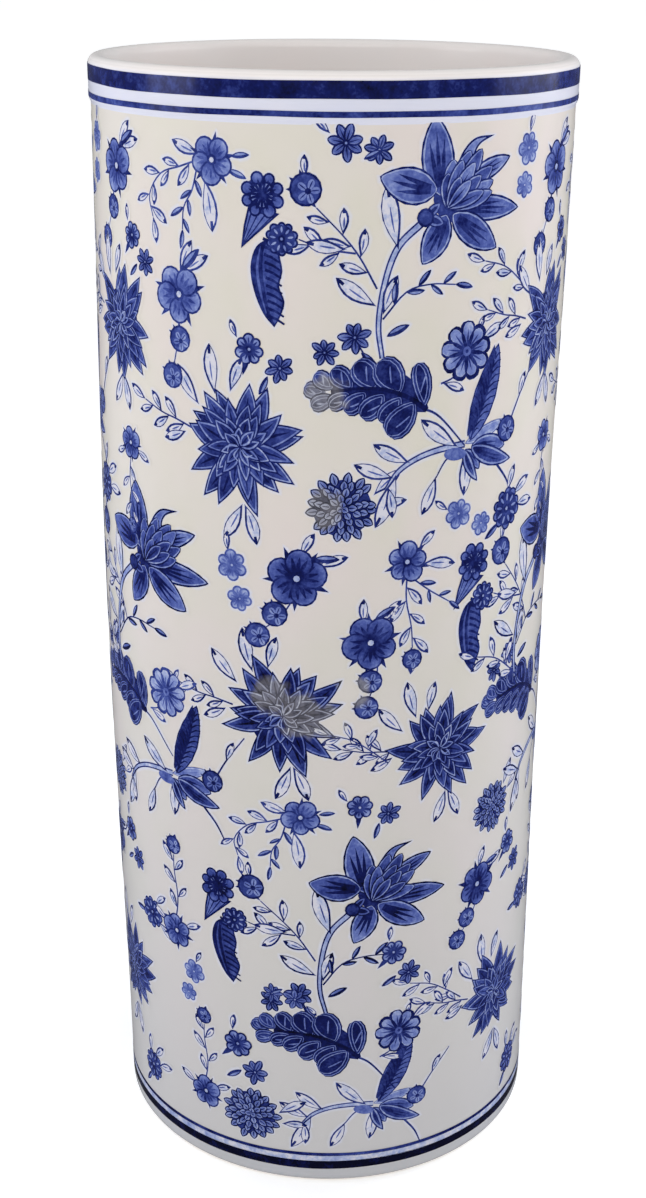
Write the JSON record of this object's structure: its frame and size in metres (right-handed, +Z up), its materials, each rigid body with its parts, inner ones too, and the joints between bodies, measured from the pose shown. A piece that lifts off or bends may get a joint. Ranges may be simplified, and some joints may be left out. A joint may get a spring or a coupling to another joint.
{
  "type": "umbrella stand",
  "caption": "Tall open-topped glazed ceramic cylinder with a collared, rounded rim and a foot ring, for standing umbrellas and walking sticks in.",
  "frame": {"origin": "centre of the foot ring's resting plane, on the stand's axis", "axes": "+Z up the stand's axis, out of its open mouth; +Y away from the viewer of the decorated front, +X to that viewer's right"},
  "size_m": [0.245, 0.245, 0.6],
  "materials": {
    "glaze": "clear gloss glaze over white body, warm cream mottling",
    "foot_glaze": "gloss glaze, wiped off the flat land it rests on",
    "cobalt": "cobalt blue under a clear gloss glaze"
  },
  "bodies": {
    "root": {"body_wall": "glaze", "rim_collar": "glaze", "foot_ring": "foot_glaze", "base_slab": "glaze", "seam_coil": "glaze"}
  },
  "joints": []
}
